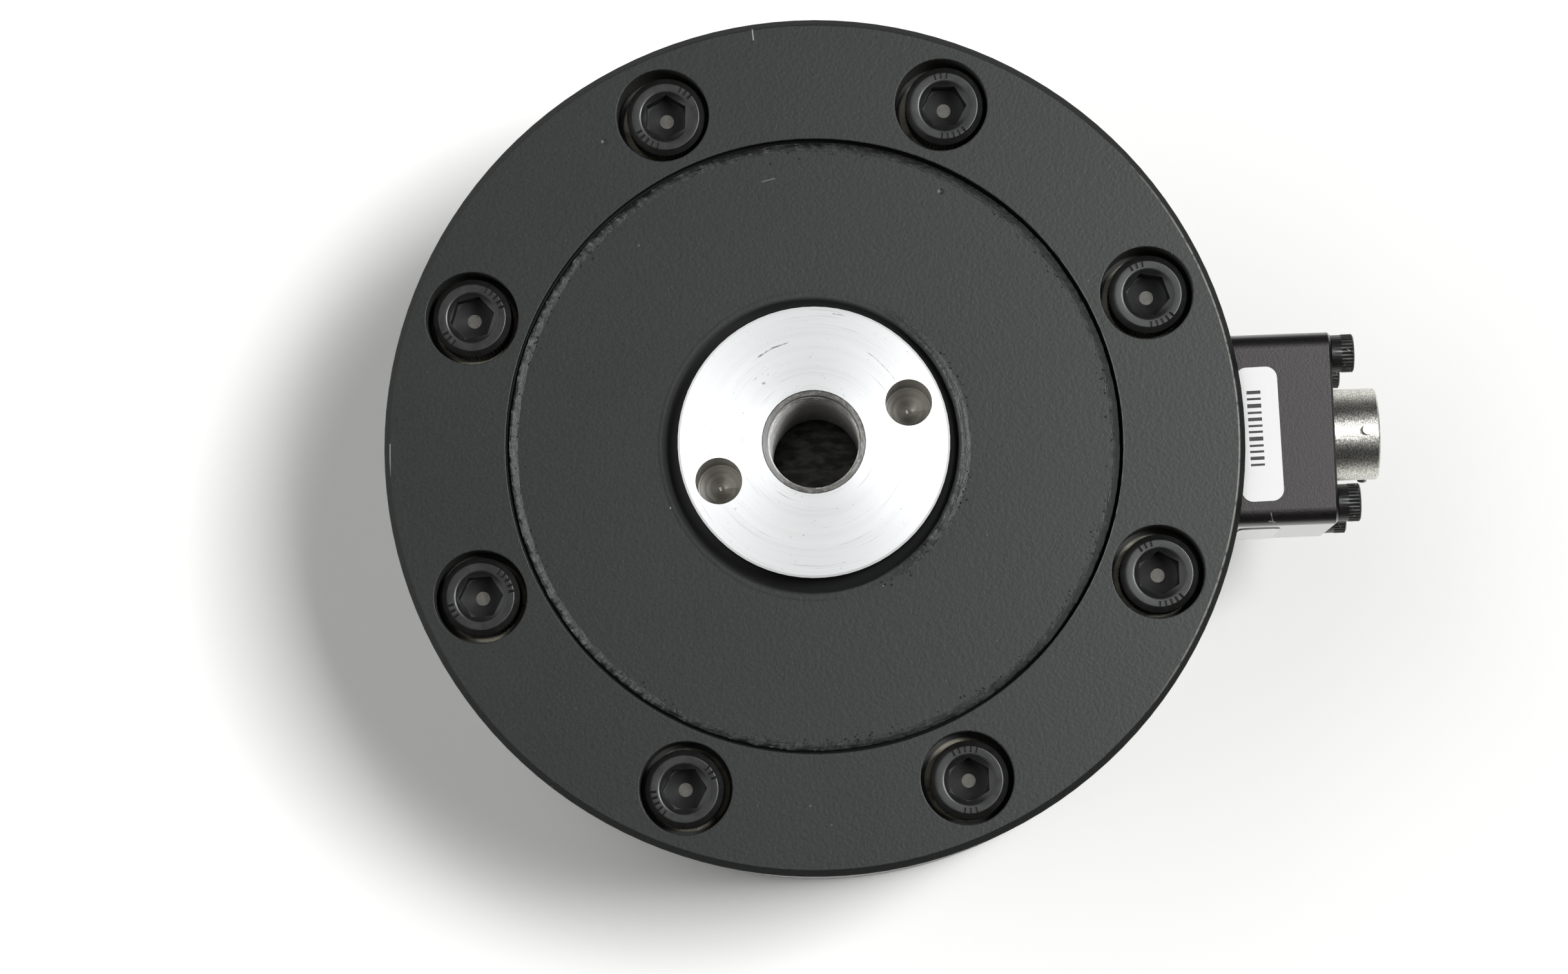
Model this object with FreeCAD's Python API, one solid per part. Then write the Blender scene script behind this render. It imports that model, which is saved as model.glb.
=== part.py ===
import FreeCAD, Part
import math
import os

# Low-profile shear-web load cell, bolted to a round base. Millimetres, +Z up along the load axis,
# origin on that axis in the base's underside, connector towards +X.

# Cell body
body_diameter = 104.65
rim_height = 26.7
rim_chamfer = 0.76
joint_chamfer = 0.5
rim_land = 14.82
recess_depth = 1.75
ledge_width = 3.0
chamber_depth = 3.0

# Hub with its through thread and two spanner holes
hub_diameter = 32.9
hub_rise = 3.55
hub_gap = 0.5
hub_edge = 0.25
shoulder_width = 4.0
thread_bore = 11.45
thread_mouth = 12.6
spanner_hole = 5.65
spanner_inset = 4.05
spanner_depth = 9.5
spanner_angle = 20.4
drill_angle = 118.0

# Shear webs, left between a ring of gauge holes
gauge_hole_count = 8
gauge_margin = 1.0

# Covers and their sealant beads
cover_thickness = 0.85
cover_gap_rim = 0.7
cover_gap_hub = 1.55
bead_width = 1.2
bead_rise = 0.4
bead_lip = 0.15
crevice_depth = 0.45

# Base
base_height = 28.6
base_chamfer = 0.76
base_recess_depth = 6.5
base_thread_depth = 16.0

# Cap screws, as shares of a screw's radius, its socket's lip and its socket's width across flats
screw_tip_share = 0.25
socket_dish_share = 0.5
socket_flat_share = 0.2

# Rim screws, which sit off their counterbores' centres by the play of the cell on its base
rim_screw_count = 8
rim_screw_edge = 7.87
rim_screw_diameter = 6.35
rim_screw_engagement = 12.2
rim_head_diameter = 9.53
rim_head_height = 6.35
rim_head_edge = 0.6
rim_socket_flats = 4.76
rim_socket_depth = 3.1
rim_socket_lip = 0.35
counterbore_clearance = 0.89
counterbore_sink = 0.85
screw_play = 0.15
hole_margin = 0.3
tap_overrun = 2.0

# Connector block on its flat seat
block_width = 23.5
block_drop = 1.6
block_reach = 10.98
block_fillet = 1.9
block_bevel = 0.3
seat_clearance = 0.15
seat_step = 0.4
gasket_thickness = 0.4
gasket_inset = 0.4
front_wall = 3.0
block_screw_inset = 2.6
block_screw_diameter = 2.84
block_screw_engagement = 6.3
block_head_diameter = 4.65
block_head_height = 2.84
block_head_edge = 0.2
block_socket_flats = 2.38
block_socket_depth = 1.4
block_socket_lip = 0.3
block_hole_margin = 0.15

# Bayonet receptacle
shell_diameter = 11.3
shell_wall = 0.85
shell_reach = 6.15
shell_edge = 0.2
shell_clearance = 0.1
flange_width = 1.6
flange_thickness = 1.6
shell_gasket_thickness = 0.8
nut_thickness = 2.2
nut_slot = 1.6
shell_tail = 0.6
socket_depth = 8.1
lug_count = 3
lug_diameter = 1.2
lug_rise = 0.7
lug_setback = 1.6
keyway_depth = 0.4
keyway_width = 1.4
keyway_angles = (0.0, 105.0, 140.0, 215.0, 255.0)

# Contacts and wires
pin_count = 4
pin_circle = 4.6
pin_diameter = 1.0
pin_reach = 3.6
cup_diameter = 1.6
cup_length = 2.5
wire_diameter = 0.9
wire_bend = 2.0
wire_spread = 2.0
wire_clearance = 0.1

# Bridge wiring and gauges
board_length = 15.0
board_margin = 1.5
board_thickness = 0.8
resistor_length = 3.2
resistor_width = 1.6
resistor_height = 0.7
resistor_inset = 2.0
resistor_setback = 0.6
loop_diameter = 1.2
loop_gap = 0.2
lead_diameter = 0.6
lead_clearance = 0.02
gauge_thickness = 0.15
gauge_height = 6.0
gauge_arc = 60.0

# Two stickers of one size, on the block's top and on its near side
label_length = 16.4
label_width = 5.1
label_corner = 1.4
label_thickness = 0.12
label_setback = 6.65
label_shift = -0.63
label_turn = 1.0
side_label_drop = 4.6

# Radii and levels worked out from the sizes above
body_radius = body_diameter / 2
recess_radius = body_radius - rim_land
cavity_radius = recess_radius - ledge_width
hub_radius = hub_diameter / 2
shoulder_radius = hub_radius + shoulder_width
gauge_circle_radius = (shoulder_radius + cavity_radius) / 2
gauge_hole_radius = (cavity_radius - shoulder_radius) / 2 - gauge_margin
mouth_depth = (thread_mouth - thread_bore) / 2

base_floor = base_height - base_recess_depth
rim_face = base_height + rim_height
hub_bottom = base_height + hub_gap
hub_top = rim_face + hub_rise
top_ledge = rim_face - recess_depth
bottom_ledge = base_height + recess_depth
plate_top = top_ledge - chamber_depth
plate_bottom = bottom_ledge + chamber_depth

rim_screw_radius = body_radius - rim_screw_edge
rim_screw_step = 360.0 / rim_screw_count
counterbore_radius = rim_head_diameter / 2 + counterbore_clearance
counterbore_floor = rim_face - counterbore_sink - rim_head_height
rim_hole_radius = rim_screw_diameter / 2 + screw_play + hole_margin
rim_screw_length = counterbore_floor - base_height + rim_screw_engagement

block_height = rim_height - 2 * block_drop
block_top = rim_face - block_drop
block_front = body_radius + block_reach
connector_z = block_top - block_height / 2
seat_half = block_width / 2 + seat_clearance
seat_x = math.sqrt(body_radius ** 2 - seat_half ** 2) - seat_step
block_back = seat_x + gasket_thickness
block_screw_length = block_front - seat_x + block_screw_engagement

shell_radius = shell_diameter / 2
shell_bore_radius = shell_radius - shell_wall
flange_radius = shell_radius + flange_width
block_bore_radius = flange_radius + shell_clearance
shell_end = block_front + shell_reach
wall_back = block_front - front_wall
flange_front = wall_back - shell_gasket_thickness
flange_back = flange_front - flange_thickness
nut_back = flange_back - nut_thickness
shell_back = nut_back - shell_tail
insert_front = shell_end - socket_depth
cup_back = shell_back - cup_length
wiring_hole_radius = pin_circle / 2 + cup_diameter / 2 + wire_clearance

Z_AXIS = FreeCAD.Vector(0, 0, 1)
Y_AXIS = FreeCAD.Vector(0, 1, 0)
X_AXIS = FreeCAD.Vector(1, 0, 0)
ORIGIN = FreeCAD.Vector(0, 0, 0)


def spot(radius, angle, z):
    """Point at a radius and an angle in degrees about the load axis."""
    turn = math.radians(angle)
    return FreeCAD.Vector(radius * math.cos(turn), radius * math.sin(turn), z)


def around_connector(radius, angle, x):
    """Point about the connector's axis; angle 0 is straight up, positive towards +Y."""
    turn = math.radians(angle)
    return FreeCAD.Vector(x, radius * math.sin(turn), connector_z + radius * math.cos(turn))


def revolved(edges):
    """Solid of revolution about Z from a closed outline in the XZ plane."""
    face = Part.Face(Part.Wire(Part.__sortEdges__(edges)))
    return face.revolve(ORIGIN, Z_AXIS, 360)


def outline(points):
    """Straight edges through (radius, z) points, closed back to the first."""
    corners = [FreeCAD.Vector(radius, 0, z) for radius, z in points]
    return [Part.LineSegment(a, b).toShape() for a, b in zip(corners, corners[1:] + corners[:1])]


def along_x(radius, start, end):
    """Cylinder on the connector's axis between two X positions."""
    return Part.makeCylinder(radius, end - start, FreeCAD.Vector(start, 0, connector_z), X_AXIS)


def drill_point(radius):
    """Height of the cone that a drill of this radius leaves."""
    return radius / math.tan(math.radians(drill_angle / 2))


def rounded_plate(size_x, size_y, corner, thickness):
    """Flat plate with round corners, centred on the origin and rising from it."""
    half_x = size_x / 2
    half_y = size_y / 2
    box = Part.makeBox(size_x, size_y, thickness, FreeCAD.Vector(-half_x, -half_y, 0))
    upright = [e for e in box.Edges if abs(e.tangentAt(e.FirstParameter).z) > 0.5]
    return box.makeFillet(corner, upright)


def rounded_bar(size_y, size_z, corner, start, end):
    """Bar along X with round long edges, centred on the connector's axis."""
    bar = rounded_plate(size_z, size_y, corner, end - start)
    bar.rotate(ORIGIN, Y_AXIS, 90)
    bar.translate(FreeCAD.Vector(start, 0, connector_z))
    return bar


def block_screw_spots(x):
    """The four screw positions in the connector block."""
    half_y = block_width / 2 - block_screw_inset
    half_z = block_height / 2 - block_screw_inset
    return [
        FreeCAD.Vector(x, side * half_y, connector_z + level * half_z)
        for side in (-1, 1)
        for level in (-1, 1)
    ]


def rim_screw_angles():
    """Angles of the rim screws; the connector lies midway between two of them."""
    return [rim_screw_step * (i + 0.5) for i in range(rim_screw_count)]


def socket_screw(diameter, length, head_diameter, head_height, edge, flats, depth, lip):
    """Socket head cap screw, head up, with the underside of its head at z = 0."""
    radius = diameter / 2
    head_radius = head_diameter / 2
    tip = radius * screw_tip_share
    corner_radius = flats / math.sqrt(3)
    dish = lip * socket_dish_share
    body = revolved(outline([
        (0, -length),
        (radius - tip, -length),
        (radius, tip - length),
        (radius, 0),
        (head_radius, 0),
        (head_radius, head_height - edge),
        (head_radius - edge, head_height),
        (corner_radius + lip, head_height),
        (corner_radius, head_height - dish),
        (0, head_height - dish),
    ]))
    floor = head_height - depth
    corners = [spot(corner_radius, 60 * i, floor) for i in range(7)]
    socket = Part.Face(Part.makePolygon(corners)).extrude(Z_AXIS * depth)
    flat_radius = flats * socket_flat_share
    cone_height = (flats / 2 - flat_radius) / math.tan(math.radians(drill_angle / 2))
    cone = Part.makeCone(flat_radius, flats / 2, cone_height, FreeCAD.Vector(0, 0, floor - cone_height))
    return body.cut(socket.fuse(cone))


def flexure_body():
    """Rim, perforated plate and hub in one piece."""
    mouth_radius = thread_mouth / 2
    bore_radius = thread_bore / 2
    body = revolved(outline([
        (mouth_radius, hub_bottom),
        (hub_radius, hub_bottom),
        (hub_radius, bottom_ledge),
        (shoulder_radius, bottom_ledge),
        (shoulder_radius, plate_bottom),
        (cavity_radius, plate_bottom),
        (cavity_radius, bottom_ledge),
        (recess_radius, bottom_ledge),
        (recess_radius, base_height),
        (body_radius - joint_chamfer, base_height),
        (body_radius, base_height + joint_chamfer),
        (body_radius, rim_face - rim_chamfer),
        (body_radius - rim_chamfer, rim_face),
        (recess_radius, rim_face),
        (recess_radius, top_ledge),
        (cavity_radius, top_ledge),
        (cavity_radius, plate_top),
        (shoulder_radius, plate_top),
        (shoulder_radius, top_ledge),
        (hub_radius, top_ledge),
        (hub_radius, hub_top - hub_edge),
        (hub_radius - hub_edge, hub_top),
        (mouth_radius, hub_top),
        (bore_radius, hub_top - mouth_depth),
        (bore_radius, hub_bottom + mouth_depth),
    ]))
    cuts = []
    for angle in rim_screw_angles():
        foot = spot(rim_screw_radius, angle, base_height)
        cuts.append(Part.makeCylinder(rim_hole_radius, rim_height, foot))
        seat = spot(rim_screw_radius, angle, counterbore_floor)
        cuts.append(Part.makeCylinder(counterbore_radius, rim_face - counterbore_floor, seat))
    for i in range(gauge_hole_count):
        place = spot(gauge_circle_radius, 360.0 * i / gauge_hole_count, plate_bottom)
        cuts.append(Part.makeCylinder(gauge_hole_radius, plate_top - plate_bottom, place))
    spanner_radius = spanner_hole / 2
    for angle in (spanner_angle, spanner_angle + 180):
        floor = spot(hub_radius - spanner_inset, angle, hub_top - spanner_depth)
        point = drill_point(spanner_radius)
        cuts.append(Part.makeCylinder(spanner_radius, spanner_depth, floor))
        cuts.append(Part.makeCone(0, spanner_radius, point, floor - Z_AXIS * point))
    seat_corner = block_fillet + seat_clearance
    seat_height = block_height + 2 * seat_clearance
    cuts.append(rounded_bar(2 * seat_half, seat_height, seat_corner, seat_x, block_front))
    cuts.append(along_x(wiring_hole_radius, gauge_circle_radius, seat_x))
    tap_depth = block_screw_engagement + tap_overrun
    for place in block_screw_spots(seat_x - tap_depth):
        cuts.append(Part.makeCylinder(block_screw_diameter / 2, tap_depth, place, X_AXIS))
    return body.cut(cuts)


def cover(z):
    """Annular cover disc with its underside at z."""
    disc = Part.makeCylinder(recess_radius - cover_gap_rim, cover_thickness, FreeCAD.Vector(0, 0, z))
    hole = Part.makeCylinder(hub_radius + cover_gap_hub, cover_thickness, FreeCAD.Vector(0, 0, z))
    return disc.cut(hole)


def seal(wall_radius, gap, inward, ledge, up):
    """Sealant in the gap between a wall and a cover's edge, sunk beside the wall and lapped onto the cover.

    inward is -1 where the cover lies inside the wall and 1 where it lies outside, and up is 1 for
    the top cover and -1 for the bottom one.
    """
    def at(run, rise):
        return FreeCAD.Vector(wall_radius + inward * run, 0, ledge + up * (cover_thickness + rise))

    heel = gap - bead_lip
    crest = heel + bead_width / 2
    toe = heel + bead_width
    edges = [
        Part.LineSegment(at(0, -cover_thickness), at(0, -crevice_depth)).toShape(),
        Part.LineSegment(at(0, -crevice_depth), at(heel, -crevice_depth)).toShape(),
        Part.LineSegment(at(heel, -crevice_depth), at(heel, 0)).toShape(),
        Part.Arc(at(heel, 0), at(crest, bead_rise), at(toe, 0)).toShape(),
        Part.LineSegment(at(toe, 0), at(gap, 0)).toShape(),
        Part.LineSegment(at(gap, 0), at(gap, -cover_thickness)).toShape(),
        Part.LineSegment(at(gap, -cover_thickness), at(0, -cover_thickness)).toShape(),
    ]
    return revolved(edges)


def base():
    """Round base with a recess under the hub, tapped holes and the lower thread."""
    mouth_radius = thread_mouth / 2
    bore_radius = thread_bore / 2
    body = revolved(outline([
        (0, base_thread_depth + drill_point(bore_radius)),
        (bore_radius, base_thread_depth),
        (bore_radius, mouth_depth),
        (mouth_radius, 0),
        (body_radius - base_chamfer, 0),
        (body_radius, base_chamfer),
        (body_radius, base_height - joint_chamfer),
        (body_radius - joint_chamfer, base_height),
        (recess_radius, base_height),
        (recess_radius, base_floor),
        (0, base_floor),
    ]))
    depth = rim_screw_engagement + tap_overrun
    radius = rim_screw_diameter / 2
    holes = []
    for angle in rim_screw_angles():
        place = spot(rim_screw_radius, angle, base_height - depth) + X_AXIS * screw_play
        holes.append(Part.makeCylinder(radius, depth, place))
    return body.cut(holes)


def rim_screws():
    """The group of screws that hold the cell to its base."""
    screws = []
    for angle in rim_screw_angles():
        screw = socket_screw(
            rim_screw_diameter, rim_screw_length, rim_head_diameter, rim_head_height, rim_head_edge,
            rim_socket_flats, rim_socket_depth, rim_socket_lip)
        screw.rotate(ORIGIN, Z_AXIS, angle)
        screw.translate(spot(rim_screw_radius, angle, counterbore_floor) + X_AXIS * screw_play)
        screws.append(screw)
    return Part.makeCompound(screws)


def connector_block():
    """Block with a stepped bore for the receptacle and four screw holes."""
    block = rounded_bar(block_width, block_height, block_fillet, block_back, block_front)
    rim = [e for e in block.Edges if min(v.X for v in e.Vertexes) > block_front - block_bevel]
    block = block.makeChamfer(block_bevel, rim)
    cuts = [
        along_x(block_bore_radius, block_back, wall_back),
        along_x(shell_radius + shell_clearance, wall_back, block_front),
    ]
    hole_radius = block_screw_diameter / 2 + block_hole_margin
    for place in block_screw_spots(block_back):
        cuts.append(Part.makeCylinder(hole_radius, block_front - block_back, place, X_AXIS))
    return block.cut(cuts)


def block_gasket():
    """Flat gasket between the block and its seat."""
    inset = 2 * gasket_inset
    sheet = rounded_bar(block_width - inset, block_height - inset, block_fillet, seat_x, block_back)
    cuts = [along_x(block_bore_radius, seat_x, block_back)]
    hole_radius = block_screw_diameter / 2 + block_hole_margin
    for place in block_screw_spots(seat_x):
        cuts.append(Part.makeCylinder(hole_radius, gasket_thickness, place, X_AXIS))
    return sheet.cut(cuts)


def block_screws():
    """The group of screws that hold the block to the rim."""
    screws = []
    for place in block_screw_spots(block_front):
        screw = socket_screw(
            block_screw_diameter, block_screw_length, block_head_diameter, block_head_height, block_head_edge,
            block_socket_flats, block_socket_depth, block_socket_lip)
        screw.rotate(ORIGIN, Y_AXIS, 90)
        screw.translate(place)
        screws.append(screw)
    return Part.makeCompound(screws)


def connector_shell():
    """Receptacle shell: flange, bayonet lugs outside and keyways inside."""
    barrel = along_x(shell_radius, shell_back, shell_end)
    front = [e for e in barrel.Edges if len(e.Vertexes) == 1 and e.Vertexes[0].X > shell_end - shell_edge]
    barrel = barrel.makeChamfer(shell_edge, front)
    shell = barrel.fuse(along_x(flange_radius, flange_back, flange_front))
    for i in range(lug_count):
        angle = 360.0 * i / lug_count
        foot = around_connector(shell_bore_radius, angle, shell_end - lug_setback)
        outward = around_connector(1, angle, 0) - FreeCAD.Vector(0, 0, connector_z)
        lug = Part.makeCylinder(lug_diameter / 2, shell_wall + lug_rise, foot, outward)
        shell = shell.fuse(lug)
    cuts = [along_x(shell_bore_radius, shell_back, shell_end)]
    for angle in keyway_angles:
        groove = Part.makeBox(
            socket_depth, keyway_width, shell_bore_radius + keyway_depth,
            FreeCAD.Vector(insert_front, -keyway_width / 2, connector_z))
        groove.rotate(FreeCAD.Vector(0, 0, connector_z), X_AXIS, -angle)
        cuts.append(groove)
    return shell.cut(cuts).removeSplitter()


def shell_gasket():
    """Flat ring between the shell's flange and the block's front wall."""
    ring = along_x(flange_radius, flange_front, wall_back)
    return ring.cut(along_x(shell_radius, flange_front, wall_back))


def connector_nut():
    """Ring nut behind the flange, with two slots for a driver."""
    ring = along_x(block_bore_radius, nut_back, flange_back)
    hole = along_x(shell_radius + shell_clearance, nut_back, flange_back)
    slot = Part.makeBox(
        nut_slot, 2 * block_bore_radius, nut_slot,
        FreeCAD.Vector(nut_back - nut_slot / 2, -block_bore_radius, connector_z - nut_slot / 2))
    return ring.cut([hole, slot])


def pin_angles():
    """Angles of the contacts about the connector's axis."""
    return [360.0 * (i + 0.5) / pin_count for i in range(pin_count)]


def connector_insert():
    """Insulator that carries the contacts."""
    insert = along_x(shell_bore_radius, shell_back, insert_front)
    holes = []
    for angle in pin_angles():
        place = around_connector(pin_circle / 2, angle, shell_back)
        holes.append(Part.makeCylinder(pin_diameter / 2, insert_front - shell_back, place, X_AXIS))
    return insert.cut(holes)


def contact_pins():
    """The contacts, each with a round nose in front and a solder cup behind."""
    pins = []
    radius = pin_diameter / 2
    nose_x = insert_front + pin_reach - radius
    for angle in pin_angles():
        foot = around_connector(pin_circle / 2, angle, cup_back)
        cup = Part.makeCylinder(cup_diameter / 2, cup_length, foot, X_AXIS)
        pin = Part.makeCylinder(radius, nose_x - shell_back, foot + X_AXIS * cup_length, X_AXIS)
        nose = Part.makeSphere(radius, around_connector(pin_circle / 2, angle, nose_x))
        pins.append(cup.fuse([pin, nose]).removeSplitter())
    return Part.makeCompound(pins)


def lead_wires():
    """Wires from the solder cups through the rim and down onto the bridge board."""
    wires = []
    landing = bottom_ledge + board_thickness
    for angle in pin_angles():
        start = around_connector(pin_circle / 2, angle, cup_back)
        upper = start.z > connector_z
        x = gauge_circle_radius + (-wire_spread if upper else wire_spread)
        bend_in = FreeCAD.Vector(x + wire_bend, start.y, start.z)
        bend_out = FreeCAD.Vector(x, start.y, start.z - wire_bend)
        slack = wire_bend * (1 - math.sqrt(0.5))
        middle = FreeCAD.Vector(x + slack, start.y, start.z - slack)
        path = Part.Wire([
            Part.LineSegment(start, bend_in).toShape(),
            Part.Arc(bend_in, middle, bend_out).toShape(),
            Part.LineSegment(bend_out, FreeCAD.Vector(x, start.y, landing)).toShape(),
        ])
        section = Part.Wire(Part.Circle(start, X_AXIS, wire_diameter / 2).toShape())
        wires.append(path.makePipeShell([section], True, True))
    return Part.makeCompound(wires)


def bridge_board():
    """Wiring board on the bottom cover, under the gauge hole nearest the connector."""
    width = cavity_radius - shoulder_radius - 2 * board_margin - (board_length / 2) ** 2 / (2 * cavity_radius)
    return Part.makeBox(
        width, board_length, board_thickness,
        FreeCAD.Vector(shoulder_radius + board_margin, -board_length / 2, bottom_ledge))


def trim_resistors():
    """Two resistors along the board's inner edge, one towards each end."""
    resistors = []
    x = shoulder_radius + board_margin + resistor_setback
    for side in (-1, 1):
        y = side * (board_length / 2 - resistor_inset)
        resistors.append(Part.makeBox(
            resistor_width, resistor_length, resistor_height,
            FreeCAD.Vector(x, y - resistor_length / 2, bottom_ledge + board_thickness)))
    return Part.makeCompound(resistors)


def gauge_direction(angle):
    """Direction in degrees from a gauge hole's centre to its gauge."""
    return angle + 90.0


def gauge_harness():
    """Loop of wiring on the bottom cover, with a lead up to each gauge."""
    loop_radius = loop_diameter / 2
    lead_radius = lead_diameter / 2
    reach = gauge_hole_radius - gauge_thickness - lead_radius - lead_clearance
    ring_radius = math.hypot(gauge_circle_radius, reach)
    loop_z = bottom_ledge + loop_radius
    board_top = bottom_ledge + board_thickness
    lead_top = connector_z
    open_angle = math.degrees(math.asin((board_length / 2 + loop_gap) / ring_radius))
    start = spot(ring_radius, open_angle, loop_z)
    section = Part.Circle(start, spot(1, open_angle + 90, 0), loop_radius).toShape()
    loop = Part.Face(Part.Wire(section)).revolve(ORIGIN, Z_AXIS, 360 - 2 * open_angle)
    leads = []
    for i in range(gauge_hole_count):
        angle = 360.0 * i / gauge_hole_count
        place = spot(gauge_circle_radius, angle, 0) + spot(reach, gauge_direction(angle), 0)
        on_board = abs(place.y) < board_length / 2 and place.x > 0
        foot_z = board_top if on_board else loop_z
        place.z = foot_z
        lead = Part.makeCylinder(lead_radius, lead_top - foot_z, place)
        if on_board:
            leads.append(lead)
        else:
            loop = loop.fuse(lead)
    return Part.makeCompound([loop] + leads)


def strain_gauges():
    """Foil gauges on the walls of the shear webs, one in each gauge hole."""
    gauges = []
    floor = connector_z - gauge_height / 2
    for i in range(gauge_hole_count):
        angle = 360.0 * i / gauge_hole_count
        centre = spot(gauge_circle_radius, angle, floor)
        wedge = Part.makeCylinder(gauge_hole_radius, gauge_height, centre, Z_AXIS, gauge_arc)
        core = Part.makeCylinder(gauge_hole_radius - gauge_thickness, gauge_height, centre)
        gauge = wedge.cut(core)
        gauge.rotate(centre, Z_AXIS, gauge_direction(angle) - gauge_arc / 2)
        gauges.append(gauge)
    return Part.makeCompound(gauges)


def serial_label():
    """Sticker with round corners on the block's top face, a little askew."""
    label = rounded_plate(label_width, label_length, label_corner, label_thickness)
    label.rotate(ORIGIN, Z_AXIS, label_turn)
    label.translate(FreeCAD.Vector(block_front - label_setback - label_width / 2, label_shift, block_top))
    return label


def side_label():
    """Sticker of the same size, upright on the block's near side."""
    label = rounded_plate(label_width, label_length, label_corner, label_thickness)
    label.rotate(ORIGIN, X_AXIS, 90)
    middle_z = block_top - side_label_drop - label_length / 2
    label.translate(FreeCAD.Vector(block_front - label_setback - label_width / 2, -block_width / 2, middle_z))
    return label


parts = {
    "flexure_body": flexure_body(),
    "top_cover": cover(top_ledge),
    "bottom_cover": cover(bottom_ledge - cover_thickness),
    "top_rim_seal": seal(recess_radius, cover_gap_rim, -1, top_ledge, 1),
    "top_hub_seal": seal(hub_radius, cover_gap_hub, 1, top_ledge, 1),
    "bottom_rim_seal": seal(recess_radius, cover_gap_rim, -1, bottom_ledge, -1),
    "bottom_hub_seal": seal(hub_radius, cover_gap_hub, 1, bottom_ledge, -1),
    "base": base(),
    "rim_screws": rim_screws(),
    "connector_block": connector_block(),
    "block_gasket": block_gasket(),
    "block_screws": block_screws(),
    "connector_shell": connector_shell(),
    "shell_gasket": shell_gasket(),
    "connector_nut": connector_nut(),
    "connector_insert": connector_insert(),
    "contact_pins": contact_pins(),
    "lead_wires": lead_wires(),
    "bridge_board": bridge_board(),
    "trim_resistors": trim_resistors(),
    "gauge_harness": gauge_harness(),
    "strain_gauges": strain_gauges(),
    "serial_label": serial_label(),
    "side_label": side_label(),
}

os.makedirs("parts", exist_ok=True)
for name, shape in parts.items():
    shape.exportStep("parts/" + name + ".step")
    print(name, len(shape.Solids), "solids", round(shape.Volume, 2), "mm3", shape.isValid())
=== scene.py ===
import math
import random

import bpy
from mathutils import Matrix, Vector, noise


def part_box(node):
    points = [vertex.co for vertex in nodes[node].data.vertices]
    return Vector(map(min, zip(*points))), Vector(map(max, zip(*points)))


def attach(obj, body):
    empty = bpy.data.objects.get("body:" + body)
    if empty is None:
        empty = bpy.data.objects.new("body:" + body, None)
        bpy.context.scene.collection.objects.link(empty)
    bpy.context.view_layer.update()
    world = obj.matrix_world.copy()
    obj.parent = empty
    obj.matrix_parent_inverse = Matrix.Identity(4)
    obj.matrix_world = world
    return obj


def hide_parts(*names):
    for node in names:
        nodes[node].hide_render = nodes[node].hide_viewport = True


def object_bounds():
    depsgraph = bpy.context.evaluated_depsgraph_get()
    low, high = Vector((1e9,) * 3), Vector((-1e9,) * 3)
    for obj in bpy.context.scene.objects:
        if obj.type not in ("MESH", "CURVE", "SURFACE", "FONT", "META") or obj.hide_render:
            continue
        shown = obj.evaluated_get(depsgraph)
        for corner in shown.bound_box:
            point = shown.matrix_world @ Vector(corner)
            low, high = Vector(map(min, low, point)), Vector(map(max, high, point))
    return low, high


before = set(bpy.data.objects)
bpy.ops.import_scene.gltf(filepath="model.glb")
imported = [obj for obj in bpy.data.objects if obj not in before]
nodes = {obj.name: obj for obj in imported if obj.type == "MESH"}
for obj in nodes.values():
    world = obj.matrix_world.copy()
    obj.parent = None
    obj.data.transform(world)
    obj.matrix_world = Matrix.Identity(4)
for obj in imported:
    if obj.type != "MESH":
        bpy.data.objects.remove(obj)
cad_low, cad_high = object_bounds()

MM = 0.001
TURN = 2 * math.pi


# Sizes read from the frame

def top_where(node, keep):
    """Highest level of a node's vertices that pass a test on their radius and height."""
    points = [v.co for v in nodes[node].data.vertices]
    return max(p.z for p in points if keep(math.hypot(p.x, p.y), p.z))


def radius_where(node, keep):
    """Largest radius of a node's vertices that pass a test on their radius and height."""
    points = [v.co for v in nodes[node].data.vertices]
    return max(math.hypot(p.x, p.y) for p in points if keep(math.hypot(p.x, p.y), p.z))


BODY_RADIUS = radius_where("base", lambda r, z: True)
HUB_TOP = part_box("flexure_body")[1].z
COVER_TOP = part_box("top_cover")[1].z
RECESS_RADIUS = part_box("top_rim_seal")[1].x
RIM_FACE = top_where("flexure_body", lambda r, z: r > RECESS_RADIUS + MM)
RIM_CHAMFER = BODY_RADIUS - radius_where("flexure_body", lambda r, z: z > RIM_FACE - 0.01 * MM)
HUB_RADIUS = radius_where(
    "flexure_body", lambda r, z: z > COVER_TOP + MM and r < RECESS_RADIUS - MM)
HUB_SEAL_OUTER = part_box("top_hub_seal")[1].x
RIM_SCREW_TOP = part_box("rim_screws")[1].z
RIM_SCREW_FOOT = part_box("rim_screws")[0].z
BLOCK_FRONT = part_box("connector_block")[1].x
BLOCK_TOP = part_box("connector_block")[1].z
BLOCK_SCREW_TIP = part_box("block_screws")[1].x
BLOCK_SCREW_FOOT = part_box("block_screws")[0].x

# Hub details
SPANNER_RADIUS = 2.825 * MM
SPANNER_CIRCLE = 12.4 * MM
SPANNER_ANGLE = math.radians(20.4)
SPANNER_PLACE = Vector((math.cos(SPANNER_ANGLE), math.sin(SPANNER_ANGLE), 0)) * SPANNER_CIRCLE
BORE_RADIUS = 5.725 * MM
MOUTH_RADIUS = 6.3 * MM
THREAD_PITCH = 1.27 * MM
THREAD_DEPTH = 0.325 * MM
THREAD_CREST = 0.38 * MM

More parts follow.
